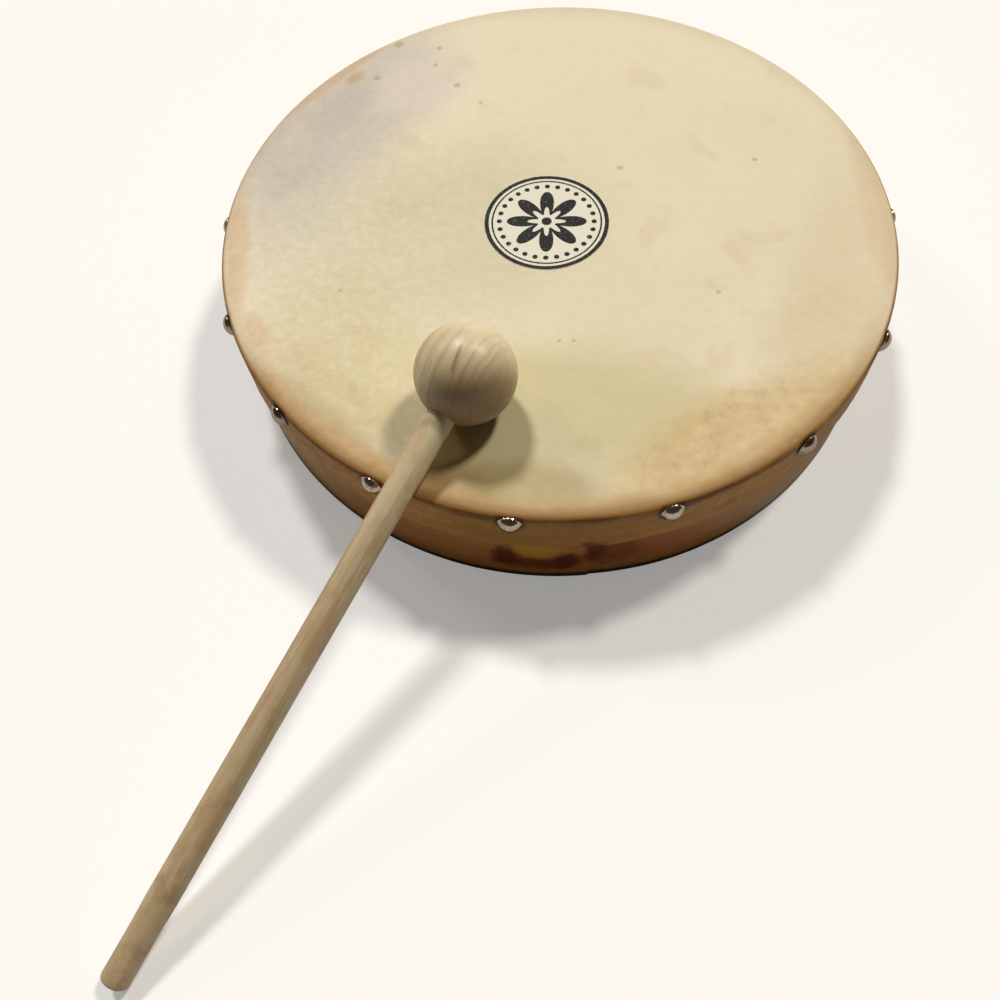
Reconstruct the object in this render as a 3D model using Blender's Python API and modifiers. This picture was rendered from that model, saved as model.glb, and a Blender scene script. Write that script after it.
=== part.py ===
"""A tacked bodhran, 300 mm across, with its beater resting on it.

Metres, +Z up. The origin is the centre of the playing face, and the drum's axis is Z. The drum
stands on its open rim at z = -DRUM_DEPTH. Azimuths are measured about +Z from the near side, -Y,
towards +X. The beater's ball lies on the head, its stick crosses the near rim, and its far end
comes down to the table that the drum stands on.
"""

import math

import bmesh
import bpy
from mathutils import Matrix, Vector

# Driving dimensions.
HEAD_RADIUS = 0.150
DRUM_DEPTH = 0.058
SKIN_THICKNESS = 0.0008
SKIRT_DEPTH = 0.023
EDGE_RADIUS = 0.0025
HOOP_THICKNESS = 0.008
GAP = 0.0003

# Upholstery tacks, hand set: their pitch tightens on one side of the drum and wavers a little, and
# they climb towards the near side.
TACK_COUNT = 15
TACK_FIRST_AZIMUTH = -5.2
TACK_DRIFT = -7.5
TACK_DRIFT_AZIMUTH = 36.0
TACK_WAVER = 0.7
TACK_WAVER_PITCH = 96.0
TACK_WAVER_START = -40.0
TACK_DEPTH = 0.0076
TACK_CLIMB = 0.0036
TACK_HEAD_RADIUS = 0.0049
TACK_HEAD_HEIGHT = 0.0031
TACK_SHANK_RADIUS = 0.0009
TACK_SHANK_LENGTH = 0.0075

# The bent hoop's scarf joint shows as one seam outside and one inside.
SEAM_OUTER_AZIMUTH = 6.5
SEAM_INNER_AZIMUTH = -24.0
SEAM_WIDTH = 0.0006
SEAM_DEPTH = 0.0008

# The crossbar that the player's hand holds inside the drum, and its two screws.
BAR_HEIGHT = 0.020
BAR_WIDTH = 0.014
BAR_EDGE = 0.003
BAR_DEPTH = 0.034
SCREW_HEAD_RADIUS = 0.0037
SCREW_HEAD_HEIGHT = 0.0024
SCREW_SHANK_RADIUS = 0.0018
SCREW_LENGTH = 0.030
SCREW_POINT = 0.005
SCREW_SINK = 0.0003
SCREW_SLOT_WIDTH = 0.001
SCREW_SLOT_DEPTH = 0.0011

# The beater.
BALL_RADIUS = 0.020
BALL_PLACE = (-0.0325, -0.0982)
STICK_RADIUS = 0.00575
STICK_REACH = 0.2524
STICK_HEADING = -29.25
STICK_END_ROUND = 0.0016
SOCKET_FLOOR = 0.002

# Facets.
DRUM_STEPS = 96
BALL_STEPS = 32
STICK_STEPS = 24
TACK_STEPS = 16
PEG_STEPS = 8

# Worked out from the driving dimensions.
HOOP_OUTER_RADIUS = HEAD_RADIUS - SKIN_THICKNESS - GAP
HOOP_INNER_RADIUS = HOOP_OUTER_RADIUS - HOOP_THICKNESS
HOOP_TOP = -(SKIN_THICKNESS + GAP)
BALL_HEIGHT = BALL_RADIUS + GAP


def clear_scene():
    """Remove every object that the file opened with."""
    for old in list(bpy.data.objects):
        bpy.data.objects.remove(old, do_unlink=True)


def make_collection(name):
    """A new collection in the scene."""
    collection = bpy.data.collections.new(name)
    bpy.context.scene.collection.children.link(collection)
    return collection


def make_material(name, colour, roughness, metallic=0.0):
    """A Principled material of one colour."""
    material = bpy.data.materials.new(name)
    material.use_nodes = True
    shader = material.node_tree.nodes["Principled BSDF"]
    shader.inputs["Base Color"].default_value = (*colour, 1.0)
    shader.inputs["Roughness"].default_value = roughness
    shader.inputs["Metallic"].default_value = metallic
    material.diffuse_color = (*colour, 1.0)
    return material


def make_empty(name, matrix):
    """An empty that carries a body's pieces."""
    empty = bpy.data.objects.new(name, None)
    parts.objects.link(empty)
    empty.matrix_world = matrix
    return empty


def add_part(name, mesh, material, carrier, matrix=None):
    """Put a mesh in the parts collection as one named sub-part, under its body's empty."""
    part = bpy.data.objects.new(name, mesh)
    parts.objects.link(part)
    part.parent = carrier
    if matrix is not None:
        part.matrix_local = matrix
    if not mesh.materials:
        mesh.materials.append(material)
    return part


def add_cutter(name, mesh, matrix=None):
    """Put a mesh in the cutters collection, hidden from renders."""
    cutter = bpy.data.objects.new(name, mesh)
    cutters.objects.link(cutter)
    if matrix is not None:
        cutter.matrix_world = matrix
    cutter.hide_render = True
    cutter.display_type = "WIRE"
    return cutter


def cut(part, cutter, operation="DIFFERENCE"):
    """Cut a part with a cutter."""
    boolean = part.modifiers.new(cutter.name, "BOOLEAN")
    boolean.operation = operation
    boolean.object = cutter


def radial(azimuth, radius, height):
    """The point at an azimuth in degrees, a radius and a height."""
    angle = math.radians(azimuth)
    return Vector((radius * math.sin(angle), -radius * math.cos(angle), height))


def facing(azimuth, radius, height):
    """A frame at a point on the drum's side, its +Z pointing straight out of the drum."""
    outward = radial(azimuth, 1.0, 0.0)
    upward = Vector((0.0, 0.0, 1.0))
    turn = Matrix((upward.cross(outward), upward, outward)).transposed().to_4x4()
    return Matrix.Translation(radial(azimuth, radius, height)) @ turn


def arc(centre, radius, start, end, points):
    """Points (radius, height) along an arc, with its angles in degrees from the +X side."""
    turned = []
    for index in range(points + 1):
        angle = math.radians(start + (end - start) * index / points)
        turned.append((centre[0] + radius * math.cos(angle), centre[1] + radius * math.sin(angle)))
    return turned


def profile_mesh(name, profile, closed):
    """A mesh of the edges through a profile's points, in the XZ plane."""
    mesh = bpy.data.meshes.new(name)
    points = [(radius, 0.0, height) for radius, height in profile]
    edges = [(index, index + 1) for index in range(len(points) - 1)]
    if closed:
        edges.append((len(points) - 1, 0))
    mesh.from_pydata(points, edges, [])
    return mesh


def turn_profile(piece, steps):
    """Turn a piece's profile once about its Z axis."""
    screw = piece.modifiers.new("turn", "SCREW")
    screw.axis = "Z"
    screw.angle = math.tau
    screw.steps = steps
    screw.render_steps = steps
    screw.use_merge_vertices = True
    screw.merge_threshold = 0.00001
    screw.use_smooth_shade = True


def pegs_mesh(name, frames, radius, low, high):
    """Round pegs in one mesh, each along its frame's Z axis from low to high."""
    peg = bmesh.new()
    for frame in frames:
        middle = Matrix.Translation((0.0, 0.0, (low + high) / 2))
        bmesh.ops.create_cone(
            peg,
            cap_ends=True,
            segments=PEG_STEPS,
            radius1=radius,
            radius2=radius,
            depth=high - low,
            matrix=frame @ middle,
        )
    mesh = bpy.data.meshes.new(name)
    peg.to_mesh(mesh)
    peg.free()
    return mesh


def box_mesh(name, size, matrix=None):
    """A box of the given size about its centre."""
    box = bmesh.new()
    scale = Matrix.Diagonal((*size, 1.0))
    bmesh.ops.create_cube(box, size=1.0, matrix=matrix @ scale if matrix else scale)
    mesh = bpy.data.meshes.new(name)
    box.to_mesh(mesh)
    box.free()
    return mesh


def tack_azimuths():
    """Where the tacks stand around the drum."""
    azimuths = []
    rest = math.cos(math.radians(TACK_DRIFT_AZIMUTH))
    for index in range(TACK_COUNT):
        even = 360.0 * index / TACK_COUNT
        swing = math.cos(math.radians(even - TACK_DRIFT_AZIMUTH))
        waver = math.sin(math.radians(TACK_WAVER_PITCH * index + TACK_WAVER_START))
        azimuth = TACK_FIRST_AZIMUTH + even + TACK_DRIFT * (swing - rest)
        azimuths.append(azimuth + TACK_WAVER * waver)
    return azimuths


def tack_depth(azimuth):
    """How far a tack's centre is below the playing face."""
    nearness = (1 + math.cos(math.radians(azimuth - TACK_FIRST_AZIMUTH))) / 2
    return TACK_DEPTH - TACK_CLIMB * nearness**3


def tack_frames():
    """A frame for each tack, on the outside of the skin's skirt."""
    return [facing(azimuth, HEAD_RADIUS, -tack_depth(azimuth)) for azimuth in tack_azimuths()]


def tack_hole_cutter():
    """The tacks' clearance holes, through the skirt and part way into the hoop."""
    depth = TACK_SHANK_LENGTH + GAP
    mesh = pegs_mesh("tack_holes", tack_frames(), TACK_SHANK_RADIUS + GAP, -depth, 0.003)
    return add_cutter("tack_holes", mesh)


def seam_cutter(name, azimuth, radius):
    """A thin upright groove in a face of the hoop."""
    size = (SEAM_WIDTH, DRUM_DEPTH * 1.2, SEAM_DEPTH * 2)
    frame = facing(azimuth, radius, -DRUM_DEPTH / 2)
    return add_cutter(name, box_mesh(name, size), frame)


def make_hoop(carrier):
    """The bent wooden frame, with its bearing edge at the top."""
    outer = HOOP_OUTER_RADIUS
    inner = HOOP_INNER_RADIUS
    rounding = EDGE_RADIUS - SKIN_THICKNESS - GAP
    ease = 0.001
    bearing = 0.003
    profile = arc((outer - rounding, HOOP_TOP - rounding), rounding, 90, 0, 3)
    profile += [(outer, -DRUM_DEPTH + ease), (outer - ease, -DRUM_DEPTH)]
    profile += [(inner + ease, -DRUM_DEPTH), (inner, -DRUM_DEPTH + ease)]
    profile += [(inner, HOOP_TOP - bearing), (inner + bearing, HOOP_TOP)]
    profile.reverse()
    hoop = add_part("hoop", profile_mesh("hoop", profile, closed=True), hoop_wood, carrier)
    turn_profile(hoop, DRUM_STEPS)
    return hoop


def make_skin(carrier):
    """The rawhide head, drawn over the hoop's edge and down its side."""
    profile = [(0.0, 0.0)]
    profile += arc((HEAD_RADIUS - EDGE_RADIUS, -EDGE_RADIUS), EDGE_RADIUS, 90, 0, 4)
    profile += [(HEAD_RADIUS, -SKIRT_DEPTH)]
    skin = add_part("skin", profile_mesh("skin", profile, closed=False), rawhide, carrier)
    turn_profile(skin, DRUM_STEPS)
    shell = skin.modifiers.new("thickness", "SOLIDIFY")
    shell.thickness = SKIN_THICKNESS
    shell.offset = -1.0
    shell.use_even_offset = True
    return skin


def tack_mesh():
    """One domed tack, its shank pointing down its -Z axis."""
    base = TACK_HEAD_RADIUS
    height = TACK_HEAD_HEIGHT
    ball = (base**2 + height**2) / (2 * height)
    brim = math.degrees(math.asin(base / ball))
    profile = arc((0.0, GAP + height - ball), ball, 90, 90 - brim, 4)
    profile[0] = (0.0, GAP + height)
    profile += [(TACK_SHANK_RADIUS, GAP)]
    profile += [(TACK_SHANK_RADIUS, -TACK_SHANK_LENGTH * 0.7), (0.0, -TACK_SHANK_LENGTH)]
    return profile_mesh("tack", profile, closed=False)


def make_tacks(carrier):
    """All the tacks, which share one mesh."""
    mesh = tack_mesh()
    for index, frame in enumerate(tack_frames(), start=1):
        tack = add_part(f"tack_{index:02d}", mesh, nickel, carrier, frame)
        turn_profile(tack, TACK_STEPS)


def bar_screw_frame(side):
    """The frame of a crossbar screw's head, +Z out of the drum; side is +1 on +X and -1 on -X."""
    return facing(90.0 * side, HOOP_OUTER_RADIUS - SCREW_SINK, -BAR_DEPTH)


def screw_profile(clearance):
    """A countersunk screw, or the hole that it needs when it has a clearance."""
    head = SCREW_HEAD_RADIUS + clearance
    shank = SCREW_SHANK_RADIUS + clearance
    profile = [(0.0, 0.0), (head, 0.0), (shank, -SCREW_HEAD_HEIGHT)]
    if clearance:
        proud = SCREW_SINK * 4
        profile[0:1] = [(0.0, proud), (head, proud)]
    profile += [(shank, SCREW_POINT - SCREW_LENGTH), (0.0, -SCREW_LENGTH - clearance)]
    return profile


def bar_screw_hole(name, side):
    """The cutter for a crossbar screw's countersunk hole."""
    mesh = profile_mesh(name, screw_profile(GAP), closed=False)
    cutter = add_cutter(name, mesh, bar_screw_frame(side))
    turn_profile(cutter, TACK_STEPS)
    return cutter


def make_bar_screw(name, side, carrier):
    """A slotted countersunk screw through the hoop into the crossbar's end."""
    frame = bar_screw_frame(side)
    mesh = profile_mesh(name, screw_profile(0.0), closed=False)
    screw = add_part(name, mesh, steel, carrier, frame)
    turn_profile(screw, TACK_STEPS)
    slot_size = (SCREW_HEAD_RADIUS * 3, SCREW_SLOT_WIDTH, SCREW_SLOT_DEPTH * 2)
    slot = add_cutter(f"{name}_slot", box_mesh(f"{name}_slot", slot_size), frame)
    cut(screw, slot)


def make_crossbar(carrier):
    """The hand bar across the drum, its ends shaped to the hoop."""
    middle = Matrix.Translation((0.0, 0.0, -BAR_DEPTH))
    size = (HEAD_RADIUS * 2, BAR_WIDTH, BAR_HEIGHT)
    bar = add_part("crossbar", box_mesh("crossbar", size, middle), bar_wood, carrier)
    edges = bar.modifiers.new("rounded edges", "BEVEL")
    edges.width = BAR_EDGE
    edges.segments = 3
    reach = HOOP_INNER_RADIUS - GAP
    low = -BAR_DEPTH - BAR_HEIGHT
    high = -BAR_DEPTH + BAR_HEIGHT
    inside = profile_mesh("hoop_inside", [(0.0, high), (reach, high), (reach, low), (0.0, low)], False)
    limit = add_cutter("hoop_inside", inside)
    turn_profile(limit, DRUM_STEPS)
    cut(bar, limit, "INTERSECT")
    return bar


def beater_frame():
    """The beater's frame: its origin is the ball's centre, and +Z runs down the stick."""
    drop = BALL_HEIGHT + DRUM_DEPTH - GAP
    reach = math.hypot(STICK_REACH, STICK_RADIUS)
    slope = math.asin(drop / reach) - math.atan2(STICK_RADIUS, STICK_REACH)
    down = radial(STICK_HEADING, math.cos(slope), -math.sin(slope))
    side = down.cross(Vector((0.0, 0.0, 1.0))).normalized()
    turn = Matrix((side, down.cross(side), down)).transposed().to_4x4()
    return Matrix.Translation((*BALL_PLACE, BALL_HEIGHT)) @ turn


def make_stick(carrier):
    """The beater's dowel, from inside the ball to its rounded far end."""
    round_centre = (STICK_RADIUS - STICK_END_ROUND, STICK_REACH - STICK_END_ROUND)
    profile = [(0.0, STICK_REACH)]
    profile += arc(round_centre, STICK_END_ROUND, 90, 0, 3)
    profile += [(STICK_RADIUS, SOCKET_FLOOR + GAP), (0.0, SOCKET_FLOOR + GAP)]
    stick = add_part("beater_stick", profile_mesh("beater_stick", profile, False), dowel, carrier)
    turn_profile(stick, STICK_STEPS)


def make_ball(carrier):
    """The beater's turned ball, with a blind socket for the stick."""
    round_ball = bmesh.new()
    bmesh.ops.create_uvsphere(
        round_ball, u_segments=BALL_STEPS, v_segments=BALL_STEPS // 2, radius=BALL_RADIUS
    )
    mesh = bpy.data.meshes.new("beater_ball")
    round_ball.to_mesh(mesh)
    round_ball.free()
    mesh.shade_smooth()
    ball = add_part("beater_ball", mesh, turned_wood, carrier)
    wall = STICK_RADIUS + GAP
    mouth = BALL_RADIUS * 1.2
    bore = [(0.0, mouth), (wall, mouth), (wall, SOCKET_FLOOR), (0.0, SOCKET_FLOOR)]
    socket = add_cutter("beater_socket", profile_mesh("beater_socket", bore, False), carrier.matrix_world)
    turn_profile(socket, STICK_STEPS)
    cut(ball, socket)


def make_drum():
    """The drum: hoop, head, tacks, and the crossbar with its screws."""
    carrier = make_empty("drum", Matrix.Identity(4))
    hoop = make_hoop(carrier)
    skin = make_skin(carrier)
    crossbar = make_crossbar(carrier)
    tack_holes = tack_hole_cutter()
    cut(skin, tack_holes)
    cut(hoop, tack_holes)
    cut(hoop, seam_cutter("seam_outer", SEAM_OUTER_AZIMUTH, HOOP_OUTER_RADIUS))
    cut(hoop, seam_cutter("seam_inner", SEAM_INNER_AZIMUTH, HOOP_INNER_RADIUS))
    for name, side in (("crossbar_screw_right", 1), ("crossbar_screw_left", -1)):
        hole = bar_screw_hole(f"{name}_hole", side)
        cut(hoop, hole)
        cut(crossbar, hole)
        make_bar_screw(name, side, carrier)
    make_tacks(carrier)


def make_beater():
    """The beater, on its own body."""
    carrier = make_empty("beater", beater_frame())
    make_ball(carrier)
    make_stick(carrier)


clear_scene()
parts = make_collection("bodhran")
cutters = make_collection("cutters")
hoop_wood = make_material("hoop wood", (0.30, 0.17, 0.08), 0.45)
rawhide = make_material("rawhide", (0.72, 0.62, 0.42), 0.55)
nickel = make_material("nickel", (0.75, 0.74, 0.72), 0.18, 1.0)
steel = make_material("steel", (0.55, 0.55, 0.56), 0.35, 1.0)
bar_wood = make_material("bar wood", (0.45, 0.30, 0.16), 0.5)
dowel = make_material("dowel", (0.62, 0.50, 0.33), 0.5)
turned_wood = make_material("turned wood", (0.42, 0.34, 0.25), 0.3)
make_drum()
make_beater()
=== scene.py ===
"""The looks of a tacked bodhran with its beater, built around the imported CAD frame.

Metres, +Z up, the origin at the centre of the playing face. Azimuths are in degrees about +Z,
from the near side, -Y, towards +X.
"""

import math

import bmesh
import bpy
from mathutils import Matrix, Vector, noise


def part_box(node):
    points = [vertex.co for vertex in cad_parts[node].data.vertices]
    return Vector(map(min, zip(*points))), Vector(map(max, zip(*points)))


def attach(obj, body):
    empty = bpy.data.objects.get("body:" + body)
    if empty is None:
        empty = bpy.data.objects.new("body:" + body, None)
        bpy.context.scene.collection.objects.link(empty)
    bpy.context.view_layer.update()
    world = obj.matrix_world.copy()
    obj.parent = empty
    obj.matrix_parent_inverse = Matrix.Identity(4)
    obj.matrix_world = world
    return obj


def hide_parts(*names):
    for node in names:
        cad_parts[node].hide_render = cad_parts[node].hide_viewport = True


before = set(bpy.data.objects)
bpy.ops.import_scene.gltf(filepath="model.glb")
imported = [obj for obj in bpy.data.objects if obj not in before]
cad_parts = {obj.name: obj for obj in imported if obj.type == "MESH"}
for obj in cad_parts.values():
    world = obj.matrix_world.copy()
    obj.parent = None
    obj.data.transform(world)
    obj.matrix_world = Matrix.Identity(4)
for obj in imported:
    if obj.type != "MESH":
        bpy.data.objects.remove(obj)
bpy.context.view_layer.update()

# The camera: a close view from the near side, tilted down past the head.
CAMERA_DISTANCE = 0.4184
CAMERA_ELEVATION = 45.61
CAMERA_PAN = -3.32
CAMERA_TILT = -17.53
CAMERA_LENS = 31.97
CAMERA_SENSOR = 36.0
CAMERA_NEAREST = 0.01

# The stage: how soft its lamps are in degrees, the size and brightness of its floor, and its light.
LAMP_SPREAD = 8.0
FLOOR_RADIUS = 12.0
FLOOR_SHADE = 0.7
FLOOR_GLOW = 0.29
WARM = (1.0, 0.94, 0.80)
COOL = (1.0, 0.99, 0.97)
AMBER = (1.0, 0.84, 0.58)
SURROUND = (AMBER, 0.06)
BACKDROP = ((1.0, 0.98, 0.95), 0.92)

# Sizes that the CAD nodes hold.
skin_low, skin_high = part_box("skin")
hoop_low, hoop_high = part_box("hoop")
bar_low, bar_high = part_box("crossbar")
ball_low, ball_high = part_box("beater_ball")
HEAD_RADIUS = (skin_high.x - skin_low.x) / 2
SKIRT_DEPTH = -skin_low.z
TABLE = hoop_low.z
HOOP_RADIUS = (hoop_high.x - hoop_low.x) / 2
HOOP_TOP = hoop_high.z
BAR_MIDDLE = (bar_low.z + bar_high.z) / 2
BALL_CENTRE = (ball_low + ball_high) / 2
BALL_RADIUS = (ball_high.z - ball_low.z) / 2

# Sizes that the design fixes and a box doesn't show. GAP is what fitted pieces keep between them.
GAP = 0.0003
SKIN_THICKNESS = 0.0008
EDGE_RADIUS = 0.0025
HOOP_THICKNESS = 0.008
TACK_HEAD_RADIUS = 0.0049
TACK_HEAD_HEIGHT = 0.0031
TACK_SHANK_RADIUS = 0.0009
TACK_LENGTH = 0.0074
SEAM_OUTER = 6.5
SEAM_INNER = -24.0
SCARF_SPAN = 16.0
SCARF_STEP = 0.00045
SOCKET_RADIUS = 0.0059
SOCKET_FLOOR = 0.002
STICK_RADIUS = 0.00575
SCREW_HEAD_RADIUS = 0.0037
SCREW_HEAD_HEIGHT = 0.0024
SCREW_SHANK_RADIUS = 0.0018
SCREW_LENGTH = 0.030
SCREW_SINK = 0.0003
SCREW_HOLE_DEPTH = 0.012
SLOT_BLOCK = (0.012, 0.001, 0.0022)
PRINT_CENTRE = (-0.0033, -0.0012)
PRINT_RADIUS = 0.028
PRINT_THICKNESS = 0.0001
PRINT_LIFT = 0.00004

# How far the skin's side moves out of true, and how far round a tack it is held and dented.
SKIN_BULGE = 0.00030
SKIN_FLARE = 0.00035
SKIN_CREASE = 0.00016
SKIN_DENT = 0.00022
HELD_REACH = 0.010
DENT_REACH = 0.0045

# How uneven the hoop's faces are, and how far its foot is worn.
HOOP_UNEVEN = 0.00010
FOOT_WEAR = 0.00022

# How many sides the turned pieces have.
SKIN_SIDES = 480
HOOP_SIDES = 360
PRINT_SIDES = 144
BALL_SIDES = 128
SMALL_SIDES = 48


def mean_of(node):
    """The mean of a CAD node's corners."""
    corners = [vertex.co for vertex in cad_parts[node].data.vertices]
    return sum(corners, Vector()) / len(corners)


def azimuth_of(point):
    """A point's azimuth."""
    return math.degrees(math.atan2(point.x, -point.y))


def read_tacks():
    """Each tack's name, azimuth and height."""
    tacks = []
    for name in sorted(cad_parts):
        if name.startswith("tack_"):
            low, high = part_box(name)
            tacks.append((name, azimuth_of(mean_of(name)), (low.z + high.z) / 2))
    return tacks


def beater_frame():
    """The beater's frame, its +Z down the stick from the ball's centre, and how far the stick goes."""
    down = (mean_of("beater_stick") - BALL_CENTRE).normalized()
    side = down.cross(Vector((0.0, 0.0, 1.0))).normalized()
    turn = Matrix((side, down.cross(side), down)).transposed().to_4x4()
    corners = [vertex.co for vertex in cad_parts["beater_stick"].data.vertices]
    reach = max((corner - BALL_CENTRE).dot(down) for corner in corners)
    return Matrix.Translation(BALL_CENTRE) @ turn, reach


TACKS = read_tacks()
BEATER, STICK_REACH = beater_frame()


# ---------------------------------------------------------------- mesh making


def radial(azimuth, radius, height):
    """The point at an azimuth, a radius and a height."""
    angle = math.radians(azimuth)
    return Vector((radius * math.sin(angle), -radius * math.cos(angle), height))


def facing(azimuth, radius, height):
    """A frame at a point on the drum's side, its +Z straight out of the drum."""
    outward = radial(azimuth, 1.0, 0.0)
    upward = Vector((0.0, 0.0, 1.0))
    turn = Matrix((upward.cross(outward), upward, outward)).transposed().to_4x4()
    return Matrix.Translation(radial(azimuth, radius, height)) @ turn


def arc(centre, radius, start, end, count):
    """Points (radius, height) on an arc, its angles in degrees from the outward side."""
    angles = [math.radians(start + (end - start) * k / count) for k in range(count + 1)]
    return [(centre[0] + radius * math.cos(a), centre[1] + radius * math.sin(a)) for a in angles]


def run(start, end, count):
    """Points on a straight run, without its first."""
    steps = [k / count for k in range(1, count + 1)]
    return [tuple(s + (e - s) * t for s, e in zip(start, end)) for t in steps]


def ripple(*at):
    """Smooth noise from -1 to 1 at up to three coordinates."""
    return noise.noise(Vector((*at, 0.0, 0.0)[:3]))


def around(azimuth, scale, third=0.0):
    """Smooth noise from -1 to 1 round the drum, with scale features to a radian or so."""
    angle = math.radians(azimuth)
    return ripple(math.cos(angle) * scale, math.sin(angle) * scale, third)


def smooth(low, high, value):
    """A smooth step from 0 at low to 1 at high."""
    t = min(max((value - low) / (high - low), 0.0), 1.0)
    return t * t * (3 - 2 * t)


def even_azimuths(count):
    """Azimuths evenly spaced round a circle."""
    return [360.0 * k / count for k in range(count)]


def turned_mesh(name, profile, azimuths, shape=None, closed=False):
    """A mesh of a profile (radius, height) turned about Z. Points on the axis become poles. shape
    moves each point: it takes a radius, a height and an azimuth and gives the new first two."""
    points = []
    rows = []
    for radius, height in profile:
        if radius < 1e-7:
            rows.append([len(points)] * len(azimuths))
            moved = shape(0.0, height, 0.0)[1] if shape else height
            points.append((0.0, 0.0, moved))
            continue
        rows.append(list(range(len(points), len(points) + len(azimuths))))
        for azimuth in azimuths:
            place = shape(radius, height, azimuth) if shape else (radius, height)
            points.append(tuple(radial(azimuth, *place)))
    if closed:
        rows.append(rows[0])
    faces = []
    for upper, lower in zip(rows, rows[1:]):
        for k in range(len(azimuths)):
            after = (k + 1) % len(azimuths)
            corners = dict.fromkeys((upper[k], lower[k], lower[after], upper[after]))
            if len(corners) > 2:
                faces.append(list(corners))
    mesh = bpy.data.meshes.new(name)
    mesh.from_pydata(points, [], faces)
    mesh.shade_smooth()
    return mesh


def add_object(name, mesh, matrix=None):
    """A new object in the scene. It stays at the origin, and a matrix moves its mesh."""
    if matrix is not None:
        mesh.transform(matrix)
    thing = bpy.data.objects.new(name, mesh)
    bpy.context.scene.collection.objects.link(thing)
    return thing


def finish_piece(thing, material, body, stands_for=None, sharp=50.0):
    """Give a piece its material, its body and the CAD node it stands for, and stop the
    smooth shading at its sharp edges."""
    thing.data.set_sharp_from_angle(angle=math.radians(sharp))
    thing.data.materials.clear()
    thing.data.materials.append(material)
    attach(thing, body)
    if stands_for:
        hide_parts(stands_for)


def cut_with(thing, cutters):
    """Cut an object with others, which are then removed."""
    for cutter in cutters:
        boolean = thing.modifiers.new("cut", "BOOLEAN")
        boolean.operation = "DIFFERENCE"
        boolean.solver = "EXACT"
        boolean.object = cutter
    bpy.context.view_layer.update()
    evaluated = thing.evaluated_get(bpy.context.evaluated_depsgraph_get())
    made = bpy.data.meshes.new_from_object(evaluated)
    thing.modifiers.clear()
    thing.data = made
    for cutter in cutters:
        bpy.data.objects.remove(cutter, do_unlink=True)


# ---------------------------------------------------------------- materials


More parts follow.
